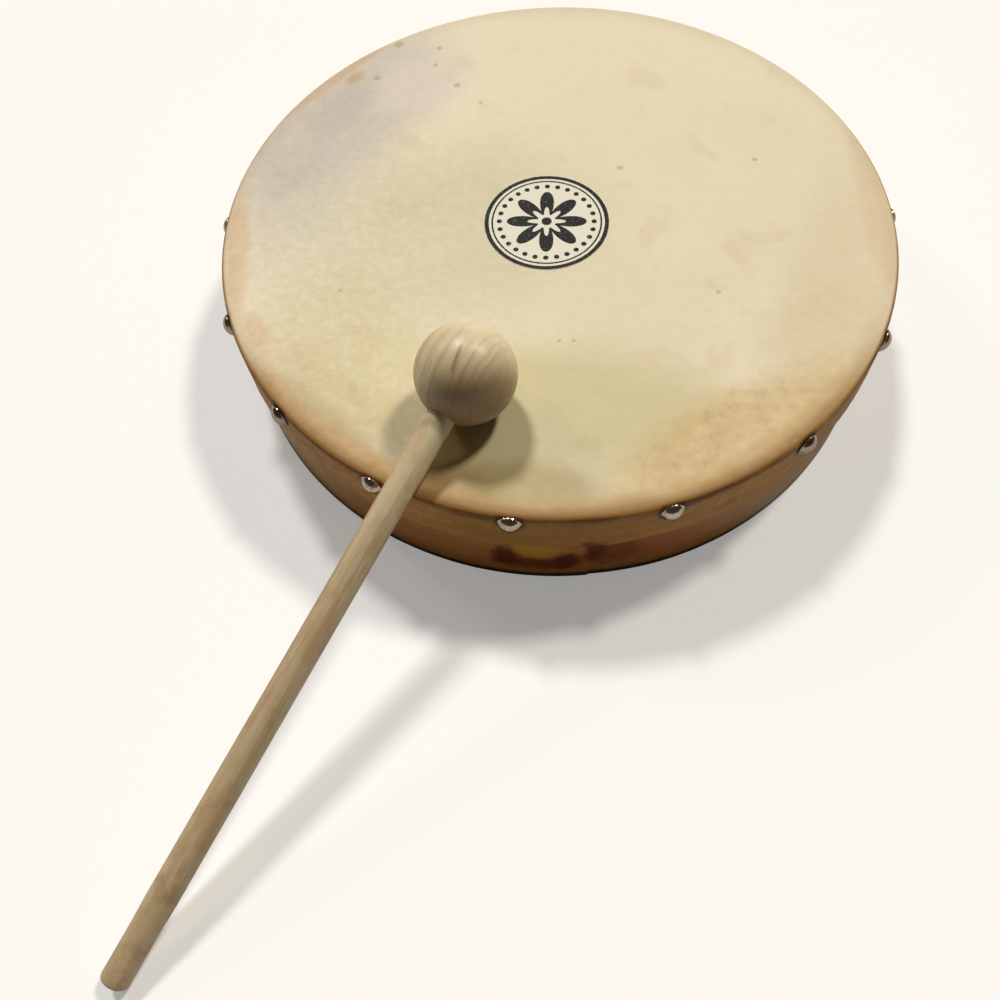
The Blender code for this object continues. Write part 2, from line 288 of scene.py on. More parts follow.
class Shader:
    """A Principled material and short calls that add nodes to it."""

    def __init__(self, name):
        self.material = bpy.data.materials.new(name)
        self.material.use_nodes = True
        self.tree = self.material.node_tree
        self.surface = self.tree.nodes["Principled BSDF"]
        self.place = self.add("ShaderNodeTexCoord").outputs["Object"]

    def add(self, kind, **settings):
        """A node with its settings."""
        node = self.tree.nodes.new(kind)
        for key, value in settings.items():
            setattr(node, key, value)
        return node

    def feed(self, socket, value):
        """Link an output to a socket, or set the socket."""
        if isinstance(value, bpy.types.NodeSocket):
            self.tree.links.new(value, socket)
        elif isinstance(value, tuple) and socket.type == "RGBA":
            socket.default_value = (*value, 1.0)
        else:
            socket.default_value = value

    def math(self, operation, *values):
        """A math node."""
        node = self.add("ShaderNodeMath", operation=operation)
        for socket, value in zip(node.inputs, values):
            self.feed(socket, value)
        return node.outputs[0]

    def vector_math(self, operation, *values, output=0):
        """A vector math node."""
        node = self.add("ShaderNodeVectorMath", operation=operation)
        for socket, value in zip(node.inputs, values):
            self.feed(socket, value)
        return node.outputs[output]

    def length(self, vector):
        """A vector's length."""
        return self.vector_math("LENGTH", vector, output="Value")

    def along(self, vector, direction):
        """How far a vector goes in a direction."""
        return self.vector_math("DOT_PRODUCT", vector, direction, output="Value")

    def split(self, vector):
        """A vector's three parts."""
        node = self.add("ShaderNodeSeparateXYZ")
        self.feed(node.inputs[0], vector)
        return node.outputs

    def join(self, x, y, z):
        """A vector of three parts."""
        node = self.add("ShaderNodeCombineXYZ")
        for socket, value in zip(node.inputs, (x, y, z)):
            self.feed(socket, value)
        return node.outputs[0]

    def stretched(self, vector, scale):
        """A vector times a scale along each axis."""
        return self.vector_math("MULTIPLY", vector, scale)

    def inside(self, vector, matrix, scale=(1.0, 1.0, 1.0)):
        """A vector as seen from a frame, in units of the scale."""
        node = self.add("ShaderNodeMapping", vector_type="TEXTURE")
        self.feed(node.inputs["Vector"], vector)
        node.inputs["Location"].default_value = matrix.to_translation()
        node.inputs["Rotation"].default_value = matrix.to_euler()
        node.inputs["Scale"].default_value = scale
        return node.outputs[0]

    def noise(self, vector, scale=1.0, detail=3.0, roughness=0.5, distortion=0.0):
        """Noise from 0 to 1."""
        node = self.add("ShaderNodeTexNoise")
        self.feed(node.inputs["Vector"], vector)
        node.inputs["Scale"].default_value = scale
        node.inputs["Detail"].default_value = detail
        node.inputs["Roughness"].default_value = roughness
        node.inputs["Distortion"].default_value = distortion
        return node.outputs["Fac"]

    def step(self, value, low, high, to_low=0.0, to_high=1.0):
        """A smooth step of a value from low to high."""
        node = self.add("ShaderNodeMapRange", interpolation_type="SMOOTHSTEP")
        for socket, number in zip(node.inputs, (value, low, high, to_low, to_high)):
            self.feed(socket, number)
        return node.outputs[0]

    def wobble(self, value, texture, amount):
        """A value pushed up and down by a texture from 0 to 1."""
        push = self.math("MULTIPLY_ADD", texture, amount, -amount / 2)
        return self.math("ADD", value, push)

    def mix(self, share, first, second):
        """A mix of two colours."""
        node = self.add("ShaderNodeMix", data_type="RGBA")
        self.feed(node.inputs[0], share)
        self.feed(node.inputs[6], first)
        self.feed(node.inputs[7], second)
        return node.outputs[2]

    def patch(self, colour, texture, matrix, half_size, strength, tint, ragged=0.7):
        """A colour with a ragged oval patch of another laid over it."""
        away = self.wobble(self.length(self.inside(self.place, matrix, half_size)), texture, ragged)
        return self.mix(self.step(away, 1.25, 0.45, 0.0, strength), colour, tint)

    def bump(self, height, depth, under=None):
        """A normal raised by a height from 0 to 1 that stands for a depth in metres."""
        node = self.add("ShaderNodeBump")
        node.inputs["Strength"].default_value = 1.0
        node.inputs["Distance"].default_value = depth
        self.feed(node.inputs["Height"], height)
        if under is not None:
            self.feed(node.inputs["Normal"], under)
        return node.outputs[0]

    def finish(self, colour, roughness, normal, plain=None):
        """Connect the surface's colour, roughness and normal, and set its plain values by name."""
        self.feed(self.surface.inputs["Base Color"], colour)
        self.feed(self.surface.inputs["Roughness"], roughness)
        self.feed(self.surface.inputs["Normal"], normal)
        for name, value in (plain or {}).items():
            self.surface.inputs[name].default_value = value
        return self.material


def srgb(red, green, blue):
    """A linear colour from screen values of 0 to 255."""
    shares = [value / 255 for value in (red, green, blue)]
    return tuple(s / 12.92 if s <= 0.04045 else ((s + 0.055) / 1.055) ** 2.4 for s in shares)


def darker(colour, share):
    """A colour times a share."""
    return tuple(part * share for part in colour)


def flat_spot(x, y, turn):
    """A frame on the playing face, its +X turned by an angle in degrees."""
    return Matrix.Translation((x, y, 0.0)) @ Matrix.Rotation(math.radians(turn), 4, "Z")


def rim_spot(azimuth, radius):
    """A frame on the playing face, its +X running round the rim."""
    place = radial(azimuth, radius, 0.0)
    return flat_spot(place.x, place.y, azimuth)


# Where the skin is tinted, with painted shade and shadows among the patches: a frame, half the
# length and width in metres, a strength and a colour.
# A patch wider than WIDE_PATCH has a broadly wavy edge, and a narrower one a finely ragged edge.
WIDE_PATCH = 0.030
SKIN_PATCHES = [
    (flat_spot(-0.048, -0.004, 10), (0.072, 0.060), 0.36, srgb(192, 184, 152)),
    (flat_spot(0.106, -0.062, 50), (0.034, 0.022), 0.4, srgb(204, 186, 146)),
    # An olive tint that is also painted shade, making the skin darker towards the near side.
    (flat_spot(0.002, -0.104, 6), (0.066, 0.038), 0.8, srgb(200, 190, 145)),
    (flat_spot(-0.084, -0.072, -45), (0.058, 0.030), 0.65, srgb(211, 200, 154)),
    (flat_spot(-0.112, -0.008, 80), (0.050, 0.026), 0.6, srgb(216, 208, 184)),
    (flat_spot(0.118, -0.030, 80), (0.060, 0.022), 0.5, srgb(216, 201, 168)),
    (flat_spot(-0.110, 0.058, 58), (0.086, 0.040), 0.85, srgb(195, 188, 181)),
    (flat_spot(-0.070, 0.090, 35), (0.032, 0.020), 0.6, srgb(224, 213, 203)),
    (flat_spot(-0.104, 0.073, 52), (0.028, 0.013), 0.5, srgb(184, 177, 170)),
    (flat_spot(-0.123, 0.030, 66), (0.024, 0.011), 0.4, srgb(188, 181, 174)),
    (rim_spot(33, 0.133), (0.070, 0.020), 0.78, srgb(205, 177, 125)),
    (rim_spot(-38, 0.145), (0.062, 0.0125), 0.95, srgb(172, 134, 84)),
    # Painted shadow of the stick where it crosses the rim, over a brown stain.
    (rim_spot(-14, 0.1425), (0.021, 0.0110), 0.85, srgb(140, 98, 60)),
    (rim_spot(-12, 0.1480), (0.050, 0.0052), 0.9, srgb(136, 98, 52)),
    (rim_spot(-4, 0.1360), (0.036, 0.0130), 0.75, srgb(178, 160, 110)),
    (rim_spot(-42, 0.1310), (0.048, 0.0140), 0.6, srgb(200, 186, 142)),
    # Painted shadow: deepens the ball's shadow on the skin in front of it.
    (rim_spot(-24, 0.1220), (0.024, 0.0150), 0.6, srgb(194, 178, 128)),
    (rim_spot(-130, 0.1455), (0.060, 0.0030), 0.5, srgb(206, 166, 128)),
    (rim_spot(-82, 0.1425), (0.040, 0.0060), 0.75, srgb(214, 183, 146)),
    (rim_spot(-63, 0.1400), (0.012, 0.0060), 0.6, srgb(212, 178, 136)),
    (rim_spot(92, 0.1430), (0.070, 0.0080), 0.6, srgb(218, 192, 164)),
    (flat_spot(-0.101, 0.095, 50), (0.0065, 0.0036), 0.7, srgb(196, 154, 114)),
]

# Small dark marks on the skin: their place and size in metres.
SKIN_MARKS = [
    (0.030, 0.032, 0.0021),
    (-0.049, 0.089, 0.0022),
    (-0.081, 0.120, 0.0034),
    (-0.061, 0.104, 0.0018),
    (-0.060, 0.117, 0.0020),
    (-0.037, 0.076, 0.0015),
    (-0.090, 0.095, 0.0026),
    (-0.092, -0.041, 0.0015),
    (0.092, 0.037, 0.0016),
    (0.003, -0.067, 0.0012),
    (0.009, -0.067, 0.0012),
    (0.070, -0.041, 0.0013),
]

# The oval of golden flecks on the skin: its frame, and half its length, width and depth.
GOLD_FLECKS = (rim_spot(33, 0.132), (0.064, 0.022, 1.0))

# Old marks on the drum's side, mostly at the front by the hoop's seam: the azimuth and height of each
# one's centre, half its width and height in metres, a strength and a colour. STAIN_DEPTH is how deep
# each one goes, in metres.
STAIN_DEPTH = 0.012
SKIRT_STAINS = [
    ((0.0, -0.0120), (0.0600, 0.0150), 0.55, srgb(146, 102, 34)),
    ((6.6, -0.0235), (0.0060, 0.0055), 0.80, srgb(104, 60, 22)),
    ((52.0, -0.0120), (0.0340, 0.0140), 0.60, srgb(138, 102, 58)),
]
HOOP_STAINS = [
    ((-46.0, -0.0400), (0.0340, 0.0170), 0.60, srgb(190, 162, 116)),
    ((43.0, -0.0440), (0.0260, 0.0120), 0.45, srgb(182, 154, 120)),
    ((15.0, -0.0370), (0.0300, 0.0120), 0.60, srgb(168, 84, 40)),
    ((10.8, -0.0360), (0.0130, 0.0105), 0.72, srgb(122, 62, 16)),
    ((-1.9, -0.0432), (0.0195, 0.0068), 0.95, srgb(116, 48, 8)),
    ((-1.9, -0.0290), (0.0135, 0.0095), 0.85, srgb(196, 146, 48)),
    ((-6.9, -0.0375), (0.0062, 0.0105), 0.95, srgb(94, 38, 2)),
    ((3.0, -0.0400), (0.0066, 0.0085), 0.95, srgb(94, 38, 2)),
    ((7.4, -0.0320), (0.0046, 0.0150), 0.93, srgb(98, 44, 2)),
]


def stained(s, colour, stains, radius):
    """A colour with the old marks laid over it, on the drum's side at a radius."""
    ragged = s.noise(s.stretched(s.place, (240.0, 240.0, 340.0)), 1.0, 3.0)
    for (azimuth, height), half_size, strength, tint in stains:
        matrix = facing(azimuth, radius, height)
        colour = s.patch(colour, ragged, matrix, (*half_size, STAIN_DEPTH), strength, tint, 1.0)
    return colour


def nearest_tack_in(s):
    """The distance to the nearest tack, as a shader works it out."""
    nearest = 1.0
    for _, azimuth, height in TACKS:
        tack = radial(azimuth, HEAD_RADIUS, height)
        nearest = s.math("MINIMUM", s.vector_math("DISTANCE", s.place, tack, output="Value"), nearest)
    return nearest


def patched_cream(s, clouds, blotches):
    """The open skin's colour: cream and cloudy, with painted light that makes it lighter on the far
    side, and its tinted patches.
    """
    drift = s.noise(s.place, 16.0, 1.5, 0.5, 0.3)
    colour = s.mix(s.step(clouds, 0.38, 0.62), srgb(229, 218, 193), srgb(225, 214, 186))
    # Painted light: the skin grows lighter towards the far side.
    far = s.step(s.split(s.place)[1], 0.0, 0.13, 0.0, 0.8)
    colour = s.mix(far, colour, srgb(235, 224, 200))
    for matrix, half_size, strength, tint in SKIN_PATCHES:
        ragged = drift if 2 * half_size[1] > WIDE_PATCH else blotches
        colour = s.patch(colour, ragged, matrix, (*half_size, 1.0), strength, tint, 0.9)
    return colour


def gold_flecked(s, colour):
    """A colour with dark and light golden flecks."""
    within = s.step(s.length(s.inside(s.place, *GOLD_FLECKS)), 1.2, 0.4)
    flecks = s.noise(s.place, 150.0, 4.0, 0.7)
    dark = s.math("MULTIPLY", within, s.step(flecks, 0.48, 0.72, 0.0, 0.5))
    colour = s.mix(dark, colour, srgb(178, 146, 94))
    light = s.math("MULTIPLY", within, s.step(flecks, 0.48, 0.32, 0.0, 0.6))
    return s.mix(light, colour, srgb(226, 206, 150))


def tan_rimmed(s, colour, radius, clouds, blotches):
    """A colour that turns tan over the hoop's top, most of all on the near side."""
    near = s.step(s.split(s.place)[1], -0.04, -0.12, 0.1, 0.95)
    near = s.math("MULTIPLY", near, s.step(clouds, 0.30, 0.52, 0.65, 1.0))
    edge = s.wobble(s.wobble(radius, blotches, 0.006), clouds, 0.008)
    band = s.step(edge, HEAD_RADIUS - 0.0125, HEAD_RADIUS - 0.0055)
    tan = s.mix(s.step(clouds, 0.4, 0.6), srgb(190, 154, 99), srgb(180, 146, 90))
    return s.mix(s.math("MULTIPLY", band, near), colour, tan)


def finely_marked(s, colour, blotches, mottle, hairs):
    """A colour with faint tan clouds, fine mottling, hair lines and small marks."""
    colour = s.mix(s.step(blotches, 0.56, 0.68, 0.0, 0.16), colour, srgb(190, 152, 108))
    colour = s.mix(s.step(mottle, 0.30, 0.75, 0.0, 0.07), colour, srgb(180, 158, 112))
    light = s.noise(s.stretched(s.place, (70.0, 120.0, 70.0)), 1.0, 3.0, 0.5)
    colour = s.mix(s.step(light, 0.35, 0.80, 0.0, 0.14), colour, srgb(232, 216, 178))
    colour = s.mix(s.step(hairs, 0.52, 0.8, 0.0, 0.12), colour, srgb(180, 160, 120))
    for mark_x, mark_y, size in SKIN_MARKS:
        away = s.vector_math("DISTANCE", s.place, (mark_x, mark_y, 0.0), output="Value")
        away = s.wobble(away, mottle, size * 1.4)
        colour = s.mix(s.step(away, size, size * 0.3, 0.0, 0.45), colour, srgb(150, 122, 84))
    return colour


def folded_side(s, mottle):
    """The skin's folded side: brown with darker streaks and old marks, painted shade in a dark band
    under the fold, and darker rings round the tacks."""
    z = s.split(s.place)[2]
    streaks = s.noise(s.stretched(s.place, (34.0, 34.0, 170.0)), 1.0, 4.0, 0.6, 0.4)
    side = s.mix(s.step(streaks, 0.35, 0.66), srgb(176, 124, 54), srgb(194, 141, 70))
    side = s.mix(s.step(mottle, 0.35, 0.75, 0.0, 0.4), side, srgb(140, 92, 42))
    soaked = s.step(s.wobble(z, streaks, 0.008), -0.0165, -0.0225, 0.0, 0.75)
    side = s.mix(soaked, side, srgb(184, 128, 68))
    side = stained(s, side, SKIRT_STAINS, HEAD_RADIUS)
    # Painted shade: a dark band just under the fold, where the rounded edge shades the side.
    shade_under_fold = s.math("MULTIPLY", s.step(z, 0.0, -0.0012), s.step(z, -0.0062, -0.0026))
    shade_under_fold = s.math("MULTIPLY", shade_under_fold, s.step(streaks, 0.3, 0.6, 0.85, 0.35))
    side = s.mix(shade_under_fold, side, srgb(92, 56, 22))
    # Darker in a ring round each tack.
    from_tack = s.wobble(nearest_tack_in(s), mottle, 0.004)
    darkening = s.step(from_tack, TACK_HEAD_RADIUS + 0.0022, TACK_HEAD_RADIUS)
    return s.mix(s.math("MULTIPLY", darkening, 0.75), side, srgb(70, 40, 18))


def rawhide():
    """The head's goatskin: cream and cloudy with a grey patch, tanned at the rim and browner at its
    near edge, and brown down the side, where it was soaked and folded over the wood."""
    s = Shader("rawhide")
    x, y, z = s.split(s.place)
    radius = s.length(s.join(x, y, 0.0))
    clouds = s.noise(s.place, 11.0, 4.0, 0.55, 0.4)
    blotches = s.noise(s.place, 34.0, 4.0, 0.55, 0.3)
    mottle = s.noise(s.place, 230.0, 4.0, 0.65)
    bent = s.join(x, s.wobble(y, clouds, 0.02), z)
    hairs = s.noise(s.stretched(bent, (70.0, 800.0, 300.0)), 1.0, 3.0, 0.6)

    colour = gold_flecked(s, patched_cream(s, clouds, blotches))
    colour = tan_rimmed(s, colour, radius, clouds, blotches)
    colour = finely_marked(s, colour, blotches, mottle, hairs)
    # Browner at the rim's edge, most of all on the near side.
    fold = s.wobble(s.wobble(radius, blotches, 0.0014), clouds, 0.004)
    near_rim_brown = s.step(fold, HEAD_RADIUS - 0.0075, HEAD_RADIUS - 0.0022)
    near_rim_brown = s.math("MULTIPLY", near_rim_brown, s.step(y, -0.05, -0.115, 0.1, 0.9))
    colour = s.mix(near_rim_brown, colour, srgb(146, 108, 58))
    over = s.step(radius, HEAD_RADIUS - 0.0018, HEAD_RADIUS - 0.0007)
    colour = s.mix(over, colour, folded_side(s, mottle))

    normal = s.bump(mottle, 0.00003)
    normal = s.bump(hairs, 0.00003, normal)
    normal = s.bump(clouds, 0.0004, normal)
    rough = s.step(mottle, 0.3, 0.7, 0.46, 0.60)
    return s.finish(colour, rough, normal, {"Specular IOR Level": 0.3})


def wood(name, grain, light, dark, pore=0.5, contrast=1.0):
    """Wood whose grain runs along the first axis of a vector in metres that grain gives. Returns the
    shader, that vector, the bands of the grain, the colour and a normal, for a caller to add to."""
    s = Shader(name)
    vector = grain(s)
    broad = s.noise(s.stretched(vector, (5.0, 60.0, 60.0)), 1.0, 3.0, 0.5, 0.6)
    bands = s.noise(s.stretched(vector, (9.0, 420.0, 420.0)), 1.0, 4.0, 0.62, 0.3)
    lines = s.noise(s.stretched(vector, (24.0, 2200.0, 2200.0)), 1.0, 3.0, 0.6)
    pores = s.noise(s.stretched(vector, (260.0, 5200.0, 5200.0)), 1.0, 2.0, 0.5)
    share = s.math("ADD", s.math("MULTIPLY", broad, 0.5), s.math("MULTIPLY", bands, 0.5))
    spread = 0.16 / contrast
    colour = s.mix(s.step(share, 0.5 - spread, 0.5 + spread), dark, light)
    colour = s.mix(s.step(lines, 0.42, 0.75, 0.0, 0.35 * contrast), colour, darker(dark, 0.55))
    colour = s.mix(s.step(pores, 0.62, 0.74, 0.0, pore), colour, darker(dark, 0.35))
    return s, vector, bands, colour, s.bump(pores, 0.00004, s.bump(lines, 0.00008))


def grain_round(s):
    """Grain that runs round the drum and breaks at the hoop's outer seam: the way round from the
    seam, the height and the radius."""
    x, y, z = s.split(s.place)
    turn = math.radians(SEAM_OUTER)
    across = s.along(s.place, (math.cos(turn), math.sin(turn), 0.0))
    ahead = s.along(s.place, (-math.sin(turn), math.cos(turn), 0.0))
    arc_length = s.math("MULTIPLY", s.math("ARCTAN2", across, ahead), HOOP_RADIUS)
    return s.join(arc_length, z, s.length(s.join(x, y, 0.0)))


def grain_along_bar(s):
    """Grain along the crossbar, which lies along X."""
    return s.place


def grain_down_stick(s):
    """Grain down the beater's stick."""
    x, y, z = s.split(s.inside(s.place, BEATER))
    return s.join(z, x, y)


def hoop_wood():
    """The bent frame's stained wood, with its old marks, dark along its lower edge."""
    s, _, bands, colour, normal = wood("hoop_wood", grain_round, srgb(194, 138, 76), srgb(158, 102, 54))
    colour = stained(s, colour, HOOP_STAINS, HOOP_RADIUS)
    foot_edge_noise = s.noise(s.place, 260.0, 3.0)
    height = s.wobble(s.split(s.place)[2], foot_edge_noise, 0.002)
    # Darker along the foot, where the hoop meets the floor.
    low = s.step(height, TABLE + 0.0065, TABLE + 0.0028, 0.0, 0.92)
    colour = s.mix(low, colour, srgb(46, 28, 18))
    rough = s.step(bands, 0.3, 0.7, 0.36, 0.50)
    return s.finish(colour, rough, normal, {"Specular IOR Level": 0.25})


def bar_wood():
    """The crossbar's plain hardwood, worn smooth and a little grimy where it is held."""
    s, place, bands, colour, normal = wood(
        "bar_wood", grain_along_bar, srgb(190, 150, 102), srgb(158, 116, 72), 0.35
    )
    held = s.step(s.math("ABSOLUTE", s.split(place)[0]), 0.095, 0.035)
    darkening = s.noise(place, 60.0, 4.0, 0.6)
    worn = s.math("MULTIPLY", held, s.step(darkening, 0.4, 0.7, 0.15, 0.6))
    rough = s.step(bands, 0.3, 0.7, 0.44, 0.58)
    return s.finish(s.mix(worn, colour, srgb(128, 88, 54)), rough, normal)


def stick_wood():
    """The beater's pale dowel, grimier where it is held, with painted light that makes it lighter
    near the ball and browner towards the far end.
    """
    s, vector, bands, colour, normal = wood(
        "stick_wood", grain_down_stick, srgb(208, 190, 156), srgb(174, 150, 114), contrast=1.1
    )
    down = s.split(vector)[0]
    # Painted light: lighter near the ball, and browner towards the far end.
    colour = s.mix(s.step(down, 0.09, 0.02, 0.0, 0.6), colour, srgb(224, 209, 172))
    colour = s.mix(s.step(down, 0.08, 0.25, 0.0, 0.4), colour, srgb(172, 142, 108))
    tints = s.noise(s.stretched(vector, (55.0, 130.0, 130.0)), 1.0, 3.0, 0.55, 0.5)
    colour = s.mix(s.step(tints, 0.52, 0.68, 0.0, 0.45), colour, srgb(174, 136, 100))
    colour = s.mix(s.step(tints, 0.46, 0.32, 0.0, 0.45), colour, srgb(172, 160, 116))
    darkening = s.noise(s.stretched(s.place, (90.0, 90.0, 40.0)), 1.0, 4.0, 0.6)
    worn = s.math("MULTIPLY", s.step(darkening, 0.48, 0.72), s.step(down, 0.05, 0.22, 0.1, 0.55))
    rough = s.step(bands, 0.3, 0.7, 0.40, 0.54)
    return s.finish(s.mix(worn, colour, srgb(142, 108, 78)), rough, normal)


def ball_line(s, down, across, under, wave):
    """The share of one short dark line on the ball's upper side, slightly aslant to the stick."""
    slant = s.math("MULTIPLY_ADD", down, 0.16, 0.0016)
    away = s.math("ABSOLUTE", s.math("ADD", s.wobble(across, wave, 0.0008), slant))
    ends = s.math("MULTIPLY", s.step(down, -0.0062, -0.0035), s.step(down, 0.0072, 0.0035))
    upper = s.math("MULTIPLY", s.step(under, 0.0, -0.01), ends)
    return s.math("MULTIPLY", s.step(away, 0.0013, 0.0002, 0.0, 0.55), upper)


def ball_wood():
    """The beater's turned ball: lacquered, with growth lines along the stick and one dark line, a
    painted highlight on its crown, grime and painted shade towards the stick, and painted shade
    underneath."""
    s, vector, _, colour, normal = wood(
        "ball_wood", grain_down_stick, srgb(222, 205, 168), srgb(194, 173, 134), 0.25, 0.6
    )
    down, across, under = s.split(vector)
    wave = s.noise(s.stretched(s.place, (60.0, 60.0, 30.0)), 1.0, 2.0)
    rings = s.noise(s.join(s.wobble(across, wave, 0.005), 0.0, 0.0), 400.0, 3.0)
    colour = s.mix(s.step(rings, 0.45, 0.70, 0.0, 0.42), colour, srgb(146, 120, 88))
    # Painted highlight: the crown, away from the stick, is lighter.
    colour = s.mix(s.step(down, -0.004, -0.017, 0.0, 0.55), colour, srgb(240, 227, 196))
    # Grime and painted shade: darker towards the stick and down one side.
    lower = s.math("MULTIPLY_ADD", across, -0.75, down)
    dirt_and_shade = s.step(s.wobble(lower, wave, 0.008), 0.002, 0.018, 0.0, 0.8)
    colour = s.mix(dirt_and_shade, colour, srgb(124, 92, 56))
    # Painted shade: the ball is dark underneath, where it faces the skin.
    colour = s.mix(s.step(under, 0.008, 0.018, 0.0, 0.8), colour, srgb(90, 60, 28))
    colour = s.mix(ball_line(s, down, across, under, wave), colour, srgb(92, 72, 48))
    normal = s.bump(rings, 0.0003, normal)
    lacquer = {"Coat Weight": 0.2, "Coat Roughness": 0.3}
    return s.finish(colour, s.step(wave, 0.3, 0.7, 0.36, 0.46), normal, lacquer)


def metal(name, colour, tarnish_and_shade, rough_low, rough_high, scale):
    """Worn plated metal, smudged in its roughness and tarnished, with painted shade that darkens it
    away from the near side.
    """
    s = Shader(name)
    smudge = s.noise(s.place, scale, 4.0, 0.6, 0.3)
    tone = s.mix(s.step(smudge, 0.45, 0.75, 0.0, 0.6), colour, tarnish_and_shade)
    # Painted shade: the metal is darker away from the near side.
    tone = s.mix(s.step(s.split(s.place)[1], -0.124, -0.112, 0.0, 0.65), tone, tarnish_and_shade)
    rough = s.step(smudge, 0.35, 0.7, rough_low, rough_high)
    scratches = s.noise(s.stretched(s.place, (1.0, 6.0, 1.0)), scale * 4, 3.0, 0.7)
    return s.finish(tone, rough, s.bump(scratches, 0.00001), {"Metallic": 1.0})


def print_ink():
    """A plain printed roundel: two rings, a ring of dots and an eight-petal rosette, in millimetres
    from its centre."""
    s = Shader("print_ink")
    millimetres = (0.001, 0.001, 0.001)
    x, y, _ = s.split(s.inside(s.place, Matrix.Translation((*PRINT_CENTRE, 0.0)), millimetres))
    angle = s.math("ARCTAN2", y, x)
    bleed = s.noise(s.place, 2400.0, 2.0)
    radius = s.wobble(s.length(s.join(x, y, 0.0)), bleed, 0.5)

    def ring(at, half):
        return s.math("COMPARE", radius, at, half)

    petal_count = 8.0
    petal = s.math("MULTIPLY_ADD", s.math("COSINE", s.math("MULTIPLY", angle, petal_count)), 0.5, 0.5)
    reach = s.math("MULTIPLY_ADD", s.math("POWER", petal, 0.5), 11.5, 6.4)
    hollow = s.math("MULTIPLY_ADD", s.math("POWER", petal, 1.4), 4.6, 4.0)
    within = s.math("LESS_THAN", radius, reach)
    petals = s.math("MULTIPLY", within, s.math("GREATER_THAN", radius, hollow))
    dots = 28
    dot_ring = 21.2
    sector = s.math("WRAP", s.math("MULTIPLY", angle, dots / math.tau), 0.5, -0.5)
    along = s.math("MULTIPLY", sector, math.tau * dot_ring / dots)
    dot = s.length(s.join(along, s.math("SUBTRACT", radius, dot_ring), 0.0))
    ink = s.math("MAXIMUM", ring(26.9, 0.95), ring(24.4, 0.4))
    for shape in (petals, s.math("LESS_THAN", dot, 1.2), s.math("LESS_THAN", radius, 2.3)):
        ink = s.math("MAXIMUM", ink, shape)
    worn = s.noise(s.place, 900.0, 4.0, 0.65)
    ink = s.math("MULTIPLY", ink, s.step(worn, 0.26, 0.4, 0.6, 1.0))
    paper = s.mix(s.step(worn, 0.4, 0.7, 0.0, 0.35), srgb(232, 228, 214), srgb(214, 208, 190))
    colour = s.mix(ink, paper, srgb(20, 18, 15))
    rough = s.step(worn, 0.3, 0.7, 0.48, 0.62)
    return s.finish(colour, rough, s.bump(worn, 0.00002), {"Specular IOR Level": 0.2})


# ---------------------------------------------------------------- pieces


def nearest_tack(azimuth):
    """How far the nearest tack is round the drum, in metres, and its height."""
    found = (1.0, 0.0)
    for _, tack_azimuth, tack_height in TACKS:
        gap = (azimuth - tack_azimuth + 180.0) % 360.0 - 180.0
        found = min(found, (abs(math.radians(gap)) * HEAD_RADIUS, tack_height))
    return found


def head_relief(radius, azimuth):
    """The skin's small rises and falls, which die out at the centre and the rim."""
    at = radial(azimuth, radius, 0.0)
    amount = smooth(0.02, 0.07, radius) * (1 - smooth(0.130, 0.146, radius))
    swells = 0.00016 * ripple(at.x * 28, at.y * 28)
    ripples = 0.00006 * ripple(at.x * 90, at.y * 90)
    return amount * (swells + ripples)


def skin_shape(radius, height, azimuth):
    """The drawn skin: puckered between the tacks, dented under each, with a hand-cut lower edge. It
    never moves in by as much as its gap to the hoop."""
    if height > -0.00001:
        return radius, height + head_relief(radius, azimuth)
    away, tack_height = nearest_tack(azimuth)
    depth = -height / SKIRT_DEPTH
    held = math.exp(-((away / HELD_REACH) ** 2))
    bulge = SKIN_BULGE * (1 - held) * smooth(0.1, 0.5, depth) * (0.6 + around(azimuth, 9))
    flare = SKIN_FLARE * smooth(0.6, 1.0, depth) * (0.5 + around(azimuth, 14, 3.0))
    creases = SKIN_CREASE * smooth(0.15, 0.5, depth) * around(azimuth, 55, depth * 1.5)
    dent = math.exp(-((away / DENT_REACH) ** 2) - ((height - tack_height) / DENT_REACH) ** 2)
    outward = max(bulge + flare + creases - SKIN_DENT * dent, -0.8 * GAP)
    cut = 0.0011 * around(azimuth, 5, 7.0) + 0.0005 * around(azimuth, 22)
    return radius + outward, height + cut * smooth(0.45, 1.0, depth)


def make_skin():
    """The rawhide head and its skirt, one drawn sheet of skin."""
    flat_radius = HEAD_RADIUS - EDGE_RADIUS
    profile = [(0.0, 0.0)]
    profile += run(profile[-1], (flat_radius - 0.001, 0.0), 34)
    profile += arc((flat_radius, -EDGE_RADIUS), EDGE_RADIUS, 90, 0, 9)
    profile += run(profile[-1], (HEAD_RADIUS, -SKIRT_DEPTH), 20)
    mesh = turned_mesh("drawn_skin", profile, even_azimuths(SKIN_SIDES), skin_shape)
    skin = add_object("drawn_skin", mesh)
    shell = skin.modifiers.new("thickness", "SOLIDIFY")
    shell.thickness = SKIN_THICKNESS
    shell.offset = -1.0
    shell.use_even_offset = True
    finish_piece(skin, rawhide(), "drum", "skin")


